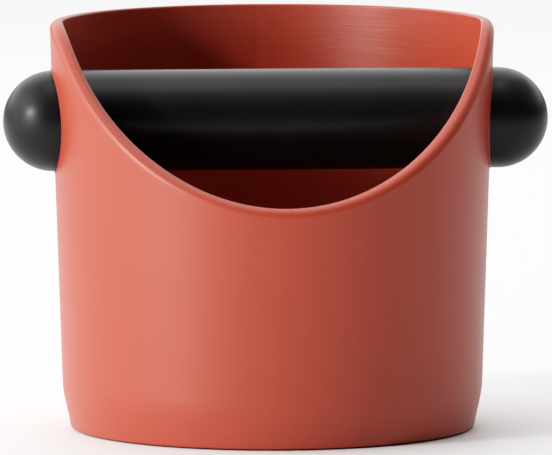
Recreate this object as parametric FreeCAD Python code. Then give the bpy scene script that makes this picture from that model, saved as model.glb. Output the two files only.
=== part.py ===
"""Espresso knock box: a round tub with a scooped front and a padded knock bar across it.

Millimetres, +Z up. The origin is on the tub's axis, on the plane that the foot ring stands on.
The scoop faces -Y and the bar lies along X. The bar is a steel tube with a rubber sleeve on it and
a rubber cap on each end. It lies in two round holes in the tub, and pulls out of them sideways.
"""

import FreeCAD, Part
import math
import os

Vector = FreeCAD.Vector
Z_AXIS = Vector(0, 0, 1)

# Tub
TUB_HEIGHT = 120.0
RIM_RADIUS = 65.3
WALL = 3.9
FOOT_PROUD = 0.4            # how far the foot ring stands below the tub's underside
UNDERSIDE_RADIUS = 59.4
WAIST_RADIUS = 61.8         # where the tapered base turns into the drafted wall
WAIST_HEIGHT = 11.3
WAIST_BLEND = 22.0
UNDERSIDE_BLEND = 0.7
FLOOR_HEIGHT = 4.2
FLOOR_BLEND = 11.0
RIM_OUTER_ROUND = 2.4
RIM_INNER_ROUND = 0.6

# Scoop: an arc in the front view, carried straight through the wall towards the tub's axis
SCOOP_RADIUS = 63.1
SCOOP_CENTRE_HEIGHT = 133.4
SCOOP_BLEND_START = 75.0    # degrees round from the front, where the arc starts to level out
SCOOP_BLEND_END = 91.0      # and where it has become the level rim
CREST_INSET = 3.1           # the arc is true this far inside the outer wall
RIM_STEP = 3                # degrees between the rim curve's points
CUTTER_INNER = 46.0
CUTTER_OUTER = 80.0

# Working allowances
OVERRUN = 10.0              # how far the blank stands above the rim before it is trimmed
MARGIN = 1.0                # how far a cutting tool or a search runs past what it meets
SAME = 0.01                 # lengths this close are the same

# Underside
FOOT_GROOVE_INNER = 48.0
FOOT_GROOVE_OUTER = 56.0
FOOT_GROOVE_DEPTH = 1.9
FOOT_DOVETAIL = 0.5         # each side of the groove is this much wider at its root
FOOT_INNER = 47.0
FOOT_OUTER = 57.0
FOOT_EDGE = 0.15
TREAD_RADII = (49.0, 51.0, 53.0, 55.0)
TREAD_WIDTH = 0.8
TREAD_DEPTH = 0.3
UNDERSIDE_RECESS_RADIUS = 44.0
UNDERSIDE_RECESS_DEPTH = 0.8
GATE_DIMPLE_RADIUS = 4.0
GATE_DIMPLE_DEPTH = 0.6
GATE_NUB_RADIUS = 1.3
GATE_NUB_HEIGHT = 0.4

# Bar, and the holes that it lies in
BAR_HEIGHT = 90.8
BAR_SHIFT = 1.15            # the bar rests this far to the right of the tub's axis
HOLE_RADIUS = 14.9
HOLE_OUTER_ROUND = 0.2
HOLE_INNER_ROUND = 0.5
COLLAR_RADIUS = 15.35       # a low lip round each hole, on the outer wall
COLLAR_HEIGHT = 0.25
COLLAR_ROUND = 0.15
SLEEVE_RADIUS = 14.85
SLEEVE_HALF_LENGTH = 58.1
SLEEVE_ROUND = 0.6
SLEEVE_CLEARANCE = 0.1
CAP_RADIUS = 14.8
CAP_START = 58.6            # the caps' inner faces, from the bar's middle
DOME_CENTRE = 65.5
TUBE_RADIUS = 10.0
TUBE_BORE_RADIUS = 8.5
TUBE_HALF_LENGTH = 66.5
TUBE_CHAMFER = 0.4

# Plug: hard plastic, pressed into the tube's end, with the cap moulded round its stud
PLUG_SPIGOT_LENGTH = 14.0
PLUG_SPIGOT_RADIUS = 8.2
PLUG_BARB_RADIUS = 8.5
PLUG_BARB_LENGTH = 2.5
PLUG_BARB_STARTS = (2.5, 7.0)
PLUG_LEAD_IN = 1.2
PLUG_FLANGE_RADIUS = 11.5
PLUG_FLANGE = 2.0
PLUG_NECK_RADIUS = 4.0
PLUG_NECK = 3.0
PLUG_STUD_RADIUS = 7.0
PLUG_STUD = 2.5
PLUG_STUD_CHAMFER = 0.6


def wall_radius(height):
    """The drafted outer wall's radius at a height above the waist."""
    share = (height - WAIST_HEIGHT) / (TUB_HEIGHT - WAIST_HEIGHT)
    return WAIST_RADIUS + (RIM_RADIUS - WAIST_RADIUS) * share


def line(start, end):
    return Part.LineSegment(Vector(start[0], 0, start[1]), Vector(end[0], 0, end[1])).toShape()


def revolve(points, axis_start=Vector(0, 0, 0), axis=Z_AXIS):
    """A solid of revolution from a closed outline of (x, z) points."""
    pairs = zip(points, points[1:] + points[:1])
    outline = Part.Wire([line(a, b) for a, b in pairs])
    return Part.Face(outline).revolve(axis_start, axis, 360)


def seam_at_back(solid):
    """Turn a solid of revolution so that its seam, made at +X, lies clear of the bar's holes."""
    return solid.rotated(Vector(0, 0, 0), Z_AXIS, 90)


def bar_cylinder(radius, start, end):
    """A cylinder on the bar's axis, from one distance from the bar's middle to another."""
    return Part.makeCylinder(radius, end - start, Vector(BAR_SHIFT + start, 0, BAR_HEIGHT), Vector(1, 0, 0))


def circle_edges(solid, radius, height):
    """The solid's circular edges about Z of that radius, at that height."""
    found = []
    for edge in solid.Edges:
        curve = edge.Curve
        if isinstance(curve, Part.Circle) and abs(curve.Center.z - height) < SAME:
            if abs(curve.Radius - radius) < SAME:
                found.append(edge)
    return found


def scoop_height(angle):
    """Height of the scoop's arc, at an angle in radians round from the front."""
    height = SCOOP_CENTRE_HEIGHT - SCOOP_RADIUS
    for _ in range(8):
        across = (wall_radius(height) - CREST_INSET) * math.sin(angle)
        height = SCOOP_CENTRE_HEIGHT - math.sqrt(SCOOP_RADIUS**2 - across**2)
    return height


def rim_height(angle):
    """Height of the tub's edge: the scoop's arc, then a smooth blend, then the level rim."""
    angle = abs(angle)
    start = math.radians(SCOOP_BLEND_START)
    end = math.radians(SCOOP_BLEND_END)
    if angle <= start:
        return scoop_height(angle)
    if angle >= end:
        return TUB_HEIGHT
    span = end - start
    small = 1e-4
    slope = (scoop_height(start) - scoop_height(start - small)) / small
    t = (angle - start) / span
    keep = 2 * t**3 - 3 * t**2 + 1
    lead = t**3 - 2 * t**2 + t
    return keep * scoop_height(start) + lead * span * slope + (1 - keep) * TUB_HEIGHT


def rim_curve(radius):
    """The tub's edge as a closed curve on a cylinder of that radius."""
    points = []
    for degrees in range(-180, 180, RIM_STEP):
        angle = math.radians(degrees)
        points.append(Vector(radius * math.sin(angle), -radius * math.cos(angle), rim_height(angle)))
    curve = Part.BSplineCurve()
    curve.interpolate(Points=points, PeriodicFlag=True)
    return curve.toShape()


def tub_blank():
    """The tub before its rim, holes and underside are cut."""
    over = TUB_HEIGHT + OVERRUN
    outside = revolve([
        (0, FOOT_PROUD),
        (UNDERSIDE_RADIUS, FOOT_PROUD),
        (WAIST_RADIUS, WAIST_HEIGHT),
        (wall_radius(over), over),
        (0, over),
    ])
    outside = outside.makeFillet(WAIST_BLEND, circle_edges(outside, WAIST_RADIUS, WAIST_HEIGHT))
    outside = outside.makeFillet(UNDERSIDE_BLEND, circle_edges(outside, UNDERSIDE_RADIUS, FOOT_PROUD))
    inside = revolve([
        (0, FLOOR_HEIGHT),
        (wall_radius(FLOOR_HEIGHT) - WALL, FLOOR_HEIGHT),
        (wall_radius(over) - WALL, over),
        (0, over),
    ])
    floor_edge = circle_edges(inside, wall_radius(FLOOR_HEIGHT) - WALL, FLOOR_HEIGHT)
    return seam_at_back(outside.cut(inside.makeFillet(FLOOR_BLEND, floor_edge)))


def foot_root(slack=0.0):
    """The dovetailed part of the foot ring, or the groove that it fills."""
    low = FOOT_PROUD - slack
    high = FOOT_PROUD + FOOT_GROOVE_DEPTH
    return revolve([
        (FOOT_GROOVE_INNER, low),
        (FOOT_GROOVE_OUTER, low),
        (FOOT_GROOVE_OUTER + FOOT_DOVETAIL, high),
        (FOOT_GROOVE_INNER - FOOT_DOVETAIL, high),
    ])


def wide_edges(solid, low, high):
    """The solid's edges that go all the way round the tub and reach up between two heights."""
    found = []
    for edge in solid.Edges:
        box = edge.BoundBox
        if box.XLength > 2 * CUTTER_INNER and low < box.ZMax < high:
            found.append(edge)
    return found


def make_collar(side):
    """A low lip round one hole. Its face follows the wall."""
    low = BAR_HEIGHT - COLLAR_RADIUS - MARGIN
    high = BAR_HEIGHT + COLLAR_RADIUS + MARGIN
    base = Vector(0, 0, low)
    low_radius = wall_radius(low) + COLLAR_HEIGHT
    high_radius = wall_radius(high) + COLLAR_HEIGHT
    face = seam_at_back(Part.makeCone(low_radius, high_radius, high - low, base))
    core = seam_at_back(Part.makeCylinder(wall_radius(low) - WALL / 2, high - low, base))
    start, end = sorted((0, side * 2 * RIM_RADIUS))
    return bar_cylinder(COLLAR_RADIUS, start, end).common(face).cut(core)


def edges_round_bar(solid, radius, nearest):
    """The solid's edges of that radius round the bar's axis that reach further than nearest from X = 0."""
    found = []
    for edge in solid.Edges:
        box = edge.BoundBox
        reach = max(abs(box.XMin), abs(box.XMax))
        if abs(box.ZLength - 2 * radius) < 10 * SAME and reach > nearest:
            found.append(edge)
    return found


def make_tub():
    ruled = Part.makeRuledSurface(rim_curve(CUTTER_INNER), rim_curve(CUTTER_OUTER))
    tub = tub_blank().cut(ruled.extrude(Vector(0, 0, TUB_HEIGHT)))
    rim_edges = wide_edges(tub, TUB_HEIGHT - MARGIN, TUB_HEIGHT + MARGIN)
    rim_edges.sort(key=lambda edge: edge.BoundBox.XLength)
    tub = tub.makeFillet(RIM_INNER_ROUND, rim_edges[:1])
    rim_edges = wide_edges(tub, TUB_HEIGHT - MARGIN, TUB_HEIGHT + MARGIN)
    rim_edges.sort(key=lambda edge: edge.BoundBox.XLength)
    tub = tub.makeFillet(RIM_OUTER_ROUND, rim_edges[-1:])

    tub = tub.fuse([make_collar(-1), make_collar(1)])
    tub = tub.cut(bar_cylinder(HOLE_RADIUS, -2 * RIM_RADIUS, 2 * RIM_RADIUS))
    collar_foot = wall_radius(BAR_HEIGHT + COLLAR_RADIUS)
    tub = tub.makeFillet(COLLAR_ROUND, edges_round_bar(tub, COLLAR_RADIUS, collar_foot + COLLAR_HEIGHT / 2))
    outer = wall_radius(BAR_HEIGHT)
    tub = tub.makeFillet(HOLE_OUTER_ROUND, edges_round_bar(tub, HOLE_RADIUS, outer))
    tub = tub.makeFillet(HOLE_INNER_ROUND, edges_round_bar(tub, HOLE_RADIUS, outer - WALL))

    tub = tub.cut(foot_root(slack=MARGIN))
    recess_top = FOOT_PROUD + UNDERSIDE_RECESS_DEPTH
    tub = tub.cut(Part.makeCylinder(UNDERSIDE_RECESS_RADIUS, recess_top))
    dimple_top = recess_top + GATE_DIMPLE_DEPTH
    tub = tub.cut(Part.makeCylinder(GATE_DIMPLE_RADIUS, dimple_top))
    nub_start = Vector(0, 0, dimple_top - GATE_NUB_HEIGHT)
    nub = Part.makeCylinder(GATE_NUB_RADIUS, GATE_NUB_HEIGHT + MARGIN, nub_start)
    return tub.fuse(nub)


def make_foot_ring():
    lip = revolve([
        (FOOT_INNER, 0),
        (FOOT_OUTER, 0),
        (FOOT_OUTER, FOOT_PROUD),
        (FOOT_INNER, FOOT_PROUD),
    ])
    floor_edges = circle_edges(lip, FOOT_INNER, 0) + circle_edges(lip, FOOT_OUTER, 0)
    ring = lip.makeFillet(FOOT_EDGE, floor_edges).fuse(foot_root()).removeSplitter()
    for radius in TREAD_RADII:
        ring = ring.cut(revolve([
            (radius - TREAD_WIDTH / 2, 0),
            (radius + TREAD_WIDTH / 2, 0),
            (radius, TREAD_DEPTH),
        ]))
    return ring


def make_core_tube():
    tube = bar_cylinder(TUBE_RADIUS, -TUBE_HALF_LENGTH, TUBE_HALF_LENGTH)
    rims = [edge for edge in tube.Edges if isinstance(edge.Curve, Part.Circle)]
    tube = tube.makeChamfer(TUBE_CHAMFER, rims)
    return tube.cut(bar_cylinder(TUBE_BORE_RADIUS, -TUBE_HALF_LENGTH, TUBE_HALF_LENGTH))


def make_knock_sleeve():
    sleeve = bar_cylinder(SLEEVE_RADIUS, -SLEEVE_HALF_LENGTH, SLEEVE_HALF_LENGTH)
    rims = [edge for edge in sleeve.Edges if isinstance(edge.Curve, Part.Circle)]
    sleeve = sleeve.makeFillet(SLEEVE_ROUND, rims)
    return sleeve.cut(bar_cylinder(TUBE_RADIUS + SLEEVE_CLEARANCE, -SLEEVE_HALF_LENGTH, SLEEVE_HALF_LENGTH))


def make_plug():
    """The right-hand plug, turned about the bar's axis."""
    outline = [(-PLUG_SPIGOT_LENGTH, 0), (-PLUG_SPIGOT_LENGTH, PLUG_SPIGOT_RADIUS - PLUG_LEAD_IN)]
    outline.append((PLUG_LEAD_IN - PLUG_SPIGOT_LENGTH, PLUG_SPIGOT_RADIUS))
    for start in reversed(PLUG_BARB_STARTS):
        outline.append((-start - PLUG_BARB_LENGTH, PLUG_SPIGOT_RADIUS))
        outline.append((-start, PLUG_BARB_RADIUS))
        outline.append((-start, PLUG_SPIGOT_RADIUS))
    neck_end = PLUG_FLANGE + PLUG_NECK
    stud_end = neck_end + PLUG_STUD
    outline += [
        (0, PLUG_SPIGOT_RADIUS),
        (0, PLUG_FLANGE_RADIUS),
        (PLUG_FLANGE, PLUG_FLANGE_RADIUS),
        (PLUG_FLANGE, PLUG_NECK_RADIUS),
        (neck_end, PLUG_NECK_RADIUS),
        (neck_end, PLUG_STUD_RADIUS),
        (stud_end - PLUG_STUD_CHAMFER, PLUG_STUD_RADIUS),
        (stud_end, PLUG_STUD_RADIUS - PLUG_STUD_CHAMFER),
        (stud_end, 0),
    ]
    tube_end = BAR_SHIFT + TUBE_HALF_LENGTH
    points = [(tube_end + along, BAR_HEIGHT + radius) for along, radius in outline]
    return revolve(points, Vector(0, 0, BAR_HEIGHT), Vector(1, 0, 0))


def make_end_cap():
    """The right-hand cap: a shank that fills the hole and a dome outside it, moulded round the plug."""
    dome = Part.makeSphere(CAP_RADIUS, Vector(BAR_SHIFT + DOME_CENTRE, 0, BAR_HEIGHT))
    dome = dome.cut(bar_cylinder(2 * CAP_RADIUS, 0, DOME_CENTRE))
    cap = dome.fuse(bar_cylinder(CAP_RADIUS, CAP_START, DOME_CENTRE)).removeSplitter()
    inner_rim = [e for e in cap.Edges if abs(e.BoundBox.XMax - BAR_SHIFT - CAP_START) < SAME]
    cap = cap.makeFillet(SLEEVE_ROUND, inner_rim)
    return cap.cut(bar_cylinder(TUBE_RADIUS, 0, TUBE_HALF_LENGTH)).cut(make_plug())


def mirrored(solid):
    """The same piece at the bar's other end."""
    return solid.mirror(Vector(BAR_SHIFT, 0, 0), Vector(1, 0, 0))


def main():
    nodes = {
        "tub": make_tub(),
        "foot_ring": make_foot_ring(),
        "core_tube": make_core_tube(),
        "knock_sleeve": make_knock_sleeve(),
        "right_cap_plug": make_plug(),
        "right_end_cap": make_end_cap(),
        "left_cap_plug": mirrored(make_plug()),
        "left_end_cap": mirrored(make_end_cap()),
    }
    os.makedirs("parts", exist_ok=True)
    for name, shape in nodes.items():
        shape.exportStep("parts/" + name + ".step")
        volume = round(shape.Volume / 1000, 2)
        print(name, "valid", shape.isValid(), "solids", len(shape.Solids), "cm3", volume)


main()
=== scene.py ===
"""Espresso knock box: materials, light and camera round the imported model.

Metres, +Z up. The origin is on the tub's axis, on the plane that the foot ring stands on.
The scoop faces -Y and the knock bar lies along X.
"""

import math

import bpy
from mathutils import Matrix, Vector

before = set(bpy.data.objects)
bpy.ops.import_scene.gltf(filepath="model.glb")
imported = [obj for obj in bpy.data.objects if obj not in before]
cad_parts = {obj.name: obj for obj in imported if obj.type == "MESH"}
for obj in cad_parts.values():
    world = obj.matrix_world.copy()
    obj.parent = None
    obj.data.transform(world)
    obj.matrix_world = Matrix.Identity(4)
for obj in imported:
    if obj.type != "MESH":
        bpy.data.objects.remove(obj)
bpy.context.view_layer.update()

# Camera: how it stands round the object, with angles in degrees
CAMERA_AIM = Vector((0.0011, -0.0001, 0.05876))
CAMERA_AZIMUTH = -4.35
CAMERA_ELEVATION = 5.826
CAMERA_DISTANCE = 2.6135
CAMERA_ROLL = -0.09
CAMERA_LENS = 579.15
CAMERA_SENSOR = 36.0
CAMERA_REACH = 50.0

# Camera response: how much it raises contrast, how softly it rolls off towards white, how many steps
# its curve has, how they crowd towards black, and which of Blender's curves is for all three colours
CONTRAST = 1.35
ROLL_OFF = 0.7
RESPONSE_POINTS = 12
RESPONSE_CROWDING = 2
ALL_COLOURS_CURVE = 3

# Colours, linear
CORAL = (0.385, 0.058, 0.031, 1.0)
CORAL_DEEP = (0.365, 0.053, 0.028, 1.0)
CORAL_SCUFFED = (0.395, 0.068, 0.040, 1.0)
BLACK_RUBBER = (0.01, 0.01, 0.0102, 1.0)
RUBBER_BLOOM = (0.013, 0.013, 0.0135, 1.0)
FOOT_BLACK = (0.016, 0.016, 0.0165, 1.0)
FOOT_DUSTY = (0.034, 0.033, 0.031, 1.0)
STEEL = (0.60, 0.59, 0.57, 1.0)
STEEL_DULL = (0.49, 0.48, 0.465, 1.0)
NYLON = (0.62, 0.60, 0.53, 1.0)
NYLON_CLOUDY = (0.55, 0.525, 0.45, 1.0)
FLOOR_WHITE = (0.9, 0.9, 0.9, 1.0)
FLOOR_SHADE = (0.885, 0.886, 0.888, 1.0)

# Soft lights, all at the same distance: name, azimuth, elevation, diameter, watts
LIGHT_DISTANCE = 2.0
LIGHTS = [
    ("key", -62, 21, 0.28, 39),
    ("key_low", -58, 4, 1.2, 28),
    ("side", -90, 36, 1.2, 8.5),
    ("side_low", -95, 8, 1.0, 7.4),
    ("top", 0, 88, 1.0, 8.8),
    ("right", 95, 35, 1.2, 2.2),
]
SWEEP_LIGHT_PLACE = (0.0, 1.1, 1.0)     # it lights the floor behind the object
SWEEP_LIGHT_SIZE = 1.6
SWEEP_LIGHT_POWER = 11

# World: a white wall behind, brightest a little above the floor, and glows on the left and overhead.
# Each pair says where one starts and is full, as a part of the unit vector towards it.
WALL_LOW = 0.52
WALL_MIDDLE = 3.47
WALL_HIGH = 1.46
LEFT_LOW = 0.84
LEFT_HIGH = 3.07
CEILING = 1.5
BEHIND = (0.0, 0.8)
ON_THE_LEFT = (-0.2, -0.9)
WALL_RISE = (0.1, 0.25)
WALL_FALL = (0.35, 0.55)
LEFT_RISE = (0.2, 0.45)
OVERHEAD = (0.6, 1.0)

# Floor
FLOOR_SIZE = 12.0
FLOOR_MOTTLE = 0.4
FLOOR_ROUGHNESS = 0.6

# Coral plastic. For every material, feature sizes and bump heights are in metres, and a pair of
# roughnesses is for the grain's low and high spots.
CORAL_MOTTLE = 0.05
CORAL_GRAIN = 0.0005
CORAL_GRAIN_HEIGHT = 0.000006
CORAL_WAVE = 0.012
CORAL_WAVE_HEIGHT = 0.00004
CORAL_ROUGHNESS = (0.39, 0.43)
CORAL_IOR = 1.52
SCUFF = 0.004
SCUFF_SQUEEZE = (0.12, 0.12, 9.0)       # long and level
SCUFF_HEIGHT = 0.000018
SCUFF_COVER = (0.5, 0.75)               # the noise's values where scuffs start and are full
SCUFF_ROUGHNESS = 0.1                   # added to the plain surface's
INSIDE_POLISH = -0.06                   # added to the roughness of the whole inside
INWARD_REACH = 0.02                     # a surface this far from the axis and facing it is fully inside

# Bar rubber
BLOOM = 0.018
BLOOM_COVER = (0.4, 0.7)
RUBBER_GRAIN = 0.0006
RUBBER_GRAIN_HEIGHT = 0.00001
RUBBER_WAVE = 0.009
RUBBER_WAVE_HEIGHT = 0.00002
RUBBER_ROUGHNESS = (0.33, 0.37)
RUBBER_IOR = 1.4
RUBBER_SPECULAR = 0.4

# Foot rubber
FOOT_GRAIN = 0.0008
FOOT_GRAIN_HEIGHT = 0.00003
FOOT_ROUGHNESS = (0.6, 0.78)
DUST = 0.014
DUST_COVER = (0.45, 0.7)

# Steel tube
DIE_LINE = 0.0006
DIE_LINE_SQUEEZE = (0.02, 1.0, 1.0)     # long, and along the bar
DIE_LINE_HEIGHT = 0.000012
STEEL_ROUGHNESS = (0.22, 0.42)

# Nylon plugs
CLOUD = 0.006
CLOUD_COVER = (0.35, 0.65)
NYLON_GRAIN = 0.0005
NYLON_GRAIN_HEIGHT = 0.00001
NYLON_ROUGHNESS = (0.42, 0.52)
NYLON_GLOW_WEIGHT = 0.15                # light that spreads under the surface
NYLON_GLOW_DEPTH = 0.002


def math_node(tree, operation, first, second):
    """A Math node's result. Each of its values is a number or another node's output."""
    node = tree.nodes.new("ShaderNodeMath")
    node.operation = operation
    for socket, value in zip(node.inputs, (first, second)):
        if isinstance(value, float):
            socket.default_value = value
        else:
            tree.links.new(value, socket)
    return node.outputs["Value"]


class Nodes:
    """A material's node tree, with short ways to add and join nodes."""

    def __init__(self, name):
        self.material = bpy.data.materials.new(name)
        self.material.use_nodes = True
        self.tree = self.material.node_tree
        self.shader = self.tree.nodes["Principled BSDF"]
        self.coordinates = self.add("ShaderNodeTexCoord")
        self.place = self.coordinates.outputs["Object"]

    def add(self, kind, **inputs):
        node = self.tree.nodes.new(kind)
        for name, value in inputs.items():
            node.inputs[name.replace("_", " ")].default_value = value
        return node

    def join(self, source, target):
        self.tree.links.new(source, target)

    def noise(self, size, detail=2.0, roughness=0.5, squeeze=(1, 1, 1)):
        """Noise with features about size metres across, and finer along each axis by that axis's squeeze."""
        mapping = self.add("ShaderNodeMapping", Scale=squeeze)
        self.join(self.place, mapping.inputs["Vector"])
        node = self.add("ShaderNodeTexNoise", Scale=1.0 / size, Detail=detail, Roughness=roughness)
        self.join(mapping.outputs["Vector"], node.inputs["Vector"])
        return node.outputs["Fac"]

    def inside(self):
        """1 where the surface faces the vertical axis, and 0 where it faces away from it."""
        flat = self.add("ShaderNodeVectorMath")
        flat.operation = "MULTIPLY"
        flat.inputs[1].default_value = (1, 1, 0)
        self.join(self.place, flat.inputs[0])
        outward = self.add("ShaderNodeVectorMath")
        outward.operation = "DOT_PRODUCT"
        self.join(flat.outputs["Vector"], outward.inputs[0])
        self.join(self.coordinates.outputs["Normal"], outward.inputs[1])
        return self.ramp(outward.outputs["Value"], 1.0, 0.0, start=-INWARD_REACH, end=0.0)

    def ramp(self, source, low, high, start=0.0, end=1.0):
        """A number from low to high as source goes from start to end."""
        node = self.add("ShaderNodeMapRange")
        node.inputs["From Min"].default_value = start
        node.inputs["From Max"].default_value = end
        node.inputs["To Min"].default_value = low
        node.inputs["To Max"].default_value = high
        self.join(source, node.inputs["Value"])
        return node.outputs["Result"]

    def blend(self, source, first, second):
        """A colour from first to second as source goes from 0 to 1. Each is a colour or an output."""
        node = self.add("ShaderNodeMix")
        node.data_type = "RGBA"
        self.join(source, node.inputs["Factor"])
        for socket, colour in (("A", first), ("B", second)):
            if isinstance(colour, tuple):
                node.inputs[socket].default_value = colour
            else:
                self.join(colour, node.inputs[socket])
        return node.outputs["Result"]

    def cover(self, source, limits):
        """How much is covered, 0 to 1, as source goes from one limit to the other."""
        start, end = limits
        return self.ramp(source, 0.0, 1.0, start, end)

    def multiply(self, first, second):
        return math_node(self.tree, "MULTIPLY", first, second)

    def total(self, first, second):
        return math_node(self.tree, "ADD", first, second)

    def bump(self, heights):
        """Join bump layers, each (source, height in metres), one on the next, to the shader."""
        normal = None
        for source, height in heights:
            node = self.add("ShaderNodeBump", Strength=1.0, Distance=height)
            self.join(source, node.inputs["Height"])
            if normal:
                self.join(normal, node.inputs["Normal"])
            normal = node.outputs["Normal"]
        self.join(normal, self.shader.inputs["Normal"])


def tub_material():
    """Satin moulded ABS: a fine grain, slow waves in the wall, and fine level scuffs on the inside."""
    nodes = Nodes("coral_abs")
    inside = nodes.inside()
    scuffs = nodes.noise(SCUFF, detail=4.0, roughness=0.7, squeeze=SCUFF_SQUEEZE)
    scuffed = nodes.multiply(inside, nodes.cover(scuffs, SCUFF_COVER))
    grain = nodes.noise(CORAL_GRAIN, detail=3.0)
    plain = nodes.blend(nodes.noise(CORAL_MOTTLE, detail=3.0), CORAL, CORAL_DEEP)
    nodes.join(nodes.blend(scuffed, plain, CORAL_SCUFFED), nodes.shader.inputs["Base Color"])
    polished = nodes.total(nodes.ramp(grain, *CORAL_ROUGHNESS), nodes.ramp(inside, 0.0, INSIDE_POLISH))
    roughness = nodes.total(polished, nodes.ramp(scuffed, 0.0, SCUFF_ROUGHNESS))
    nodes.join(roughness, nodes.shader.inputs["Roughness"])
    nodes.shader.inputs["IOR"].default_value = CORAL_IOR
    waves = nodes.noise(CORAL_WAVE)
    nodes.bump([(grain, CORAL_GRAIN_HEIGHT), (waves, CORAL_WAVE_HEIGHT), (scuffed, SCUFF_HEIGHT)])
    return nodes.material


def rubber_material():
    """Smooth black moulded rubber, with a fine grain and a faint bloom."""
    nodes = Nodes("black_rubber")
    bloom = nodes.cover(nodes.noise(BLOOM, detail=4.0), BLOOM_COVER)
    nodes.join(nodes.blend(bloom, BLACK_RUBBER, RUBBER_BLOOM), nodes.shader.inputs["Base Color"])
    grain = nodes.noise(RUBBER_GRAIN, detail=4.0)
    nodes.join(nodes.ramp(grain, *RUBBER_ROUGHNESS), nodes.shader.inputs["Roughness"])
    nodes.shader.inputs["IOR"].default_value = RUBBER_IOR
    nodes.shader.inputs["Specular IOR Level"].default_value = RUBBER_SPECULAR
    nodes.bump([(grain, RUBBER_GRAIN_HEIGHT), (nodes.noise(RUBBER_WAVE), RUBBER_WAVE_HEIGHT)])
    return nodes.material


def foot_material():
    """Matt black rubber with a coarse grain and pale dust on its high spots."""
    nodes = Nodes("foot_rubber")
    grain = nodes.noise(FOOT_GRAIN, detail=4.0)
    dust = nodes.multiply(nodes.cover(nodes.noise(DUST, detail=5.0), DUST_COVER), grain)
    nodes.join(nodes.blend(dust, FOOT_BLACK, FOOT_DUSTY), nodes.shader.inputs["Base Color"])
    nodes.join(nodes.ramp(grain, *FOOT_ROUGHNESS), nodes.shader.inputs["Roughness"])
    nodes.bump([(grain, FOOT_GRAIN_HEIGHT)])
    return nodes.material


def steel_material():
    """Drawn stainless tube, with die lines along the bar and duller streaks between them."""
    nodes = Nodes("drawn_steel")
    nodes.shader.inputs["Metallic"].default_value = 1.0
    lines = nodes.noise(DIE_LINE, detail=4.0, roughness=0.65, squeeze=DIE_LINE_SQUEEZE)
    nodes.join(nodes.blend(lines, STEEL, STEEL_DULL), nodes.shader.inputs["Base Color"])
    nodes.join(nodes.ramp(lines, *STEEL_ROUGHNESS), nodes.shader.inputs["Roughness"])
    nodes.bump([(lines, DIE_LINE_HEIGHT)])
    return nodes.material


def nylon_material():
    """Natural nylon as moulded: slightly cloudy, with a fine matt grain."""
    nodes = Nodes("natural_nylon")
    cloud = nodes.cover(nodes.noise(CLOUD, detail=3.0), CLOUD_COVER)
    nodes.join(nodes.blend(cloud, NYLON, NYLON_CLOUDY), nodes.shader.inputs["Base Color"])
    grain = nodes.noise(NYLON_GRAIN, detail=3.0)
    nodes.join(nodes.ramp(grain, *NYLON_ROUGHNESS), nodes.shader.inputs["Roughness"])
    nodes.shader.inputs["Subsurface Weight"].default_value = NYLON_GLOW_WEIGHT
    nodes.shader.inputs["Subsurface Scale"].default_value = NYLON_GLOW_DEPTH
    nodes.bump([(grain, NYLON_GRAIN_HEIGHT)])
    return nodes.material


def dress(names, material):
    """Give the named CAD nodes a material."""
    for name in names:
        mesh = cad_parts[name].data
        mesh.materials.clear()
        mesh.materials.append(material)


def make_floor():
    bpy.ops.mesh.primitive_plane_add(size=FLOOR_SIZE)
    floor = bpy.context.object
    floor.name = "floor"
    nodes = Nodes("floor_white")
    mottle = nodes.noise(FLOOR_MOTTLE)
    nodes.join(nodes.blend(mottle, FLOOR_WHITE, FLOOR_SHADE), nodes.shader.inputs["Base Color"])
    nodes.shader.inputs["Roughness"].default_value = FLOOR_ROUGHNESS
    floor.data.materials.append(nodes.material)


def direction(azimuth, elevation):
    """The unit vector towards a place round the object. Azimuth 0 is -Y, and 90 is +X."""
    around = math.radians(azimuth)
    up = math.radians(elevation)
    across = math.cos(up)
    return Vector((math.sin(around) * across, -math.cos(around) * across, math.sin(up)))


def add_light(name, place, towards, size, power):
    """A round soft light at a place, with its back to the direction towards."""
    data = bpy.data.lights.new(name, "AREA")
    data.shape = "DISK"
    data.size = size
    data.energy = power
    light = bpy.data.objects.new(name, data)
    light.location = place
    light.rotation_euler = towards.to_track_quat("Z", "Y").to_euler()
    bpy.context.collection.objects.link(light)


def make_lights():
    for name, azimuth, elevation, size, power in LIGHTS:
        towards = direction(azimuth, elevation)
        add_light(name, CAMERA_AIM + towards * LIGHT_DISTANCE, towards, size, power)
    up = Vector((0, 0, 1))
    add_light("sweep", Vector(SWEEP_LIGHT_PLACE), up, SWEEP_LIGHT_SIZE, SWEEP_LIGHT_POWER)


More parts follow.
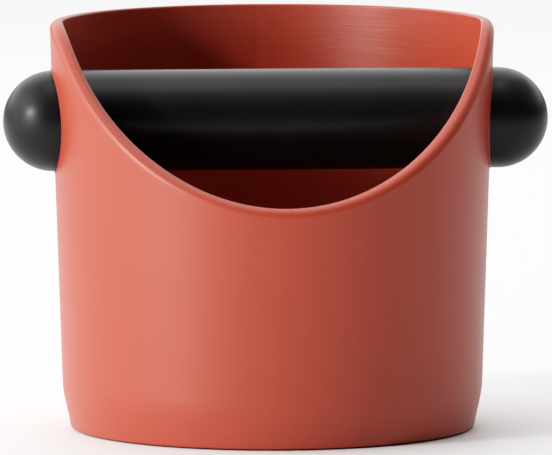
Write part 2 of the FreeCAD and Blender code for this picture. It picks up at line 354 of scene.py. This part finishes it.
def make_world():
    """Plain white light from all round, as strong in each direction as the bands above say."""
    world = bpy.data.worlds.new("studio")
    world.use_nodes = True
    tree = world.node_tree
    place = tree.nodes.new("ShaderNodeTexCoord")
    split = tree.nodes.new("ShaderNodeSeparateXYZ")
    tree.links.new(place.outputs["Generated"], split.inputs["Vector"])

    def fade(source, limits, size):
        """A number that goes smoothly from 0 to size as source goes from one limit to the other."""
        node = tree.nodes.new("ShaderNodeMapRange")
        node.interpolation_type = "SMOOTHSTEP"
        node.inputs["From Min"].default_value, node.inputs["From Max"].default_value = limits
        node.inputs["To Min"].default_value = 0.0
        node.inputs["To Max"].default_value = size
        tree.links.new(source, node.inputs["Value"])
        return node.outputs["Result"]

    def add(first, second):
        return math_node(tree, "ADD", first, second)

    def multiply(first, second):
        return math_node(tree, "MULTIPLY", first, second)

    x, y, z = split.outputs
    rise = add(fade(z, WALL_RISE, WALL_MIDDLE - WALL_LOW), WALL_LOW)
    wall = add(rise, fade(z, WALL_FALL, WALL_HIGH - WALL_MIDDLE))
    behind = multiply(wall, fade(y, BEHIND, 1.0))
    glow = add(fade(z, LEFT_RISE, LEFT_HIGH - LEFT_LOW), LEFT_LOW)
    left = multiply(glow, fade(x, ON_THE_LEFT, 1.0))
    strength = add(add(behind, left), fade(z, OVERHEAD, CEILING))
    tree.links.new(strength, tree.nodes["Background"].inputs["Strength"])
    tree.nodes["Background"].inputs["Color"].default_value = (1, 1, 1, 1)
    bpy.context.scene.world = world


def set_camera_response():
    """A camera's gentle response: y = x^c / (1 + r x^c), with contrast c, roll-off r and light x."""
    white = (1 / (1 - ROLL_OFF)) ** (1 / CONTRAST)
    view = bpy.context.scene.view_settings
    view.view_transform = "Standard"
    view.use_curve_mapping = True
    view.curve_mapping.white_level = (white, white, white)
    curve = view.curve_mapping.curves[ALL_COLOURS_CURVE]
    curve.points[0].location = (0, 0)
    curve.points[-1].location = (1, 1)
    for step in range(1, RESPONSE_POINTS):
        share = (step / RESPONSE_POINTS) ** RESPONSE_CROWDING
        light = (share * white) ** CONTRAST
        curve.points.new(share, light / (1 + ROLL_OFF * light))
    view.curve_mapping.update()


def make_camera():
    data = bpy.data.cameras.new("camera")
    data.lens = CAMERA_LENS
    data.sensor_width = CAMERA_SENSOR
    data.clip_end = CAMERA_REACH
    camera = bpy.data.objects.new("camera", data)
    towards = direction(CAMERA_AZIMUTH, CAMERA_ELEVATION)
    turn = towards.to_track_quat("Z", "Y").to_matrix().to_4x4()
    roll = Matrix.Rotation(math.radians(CAMERA_ROLL), 4, "Z")
    camera.matrix_world = Matrix.Translation(CAMERA_AIM + towards * CAMERA_DISTANCE) @ turn @ roll
    bpy.context.collection.objects.link(camera)
    bpy.context.scene.camera = camera


dress(["tub"], tub_material())
dress(["knock_sleeve", "left_end_cap", "right_end_cap"], rubber_material())
dress(["foot_ring"], foot_material())
dress(["core_tube"], steel_material())
dress(["left_cap_plug", "right_cap_plug"], nylon_material())
make_floor()
make_world()
make_lights()
make_camera()
set_camera_response()
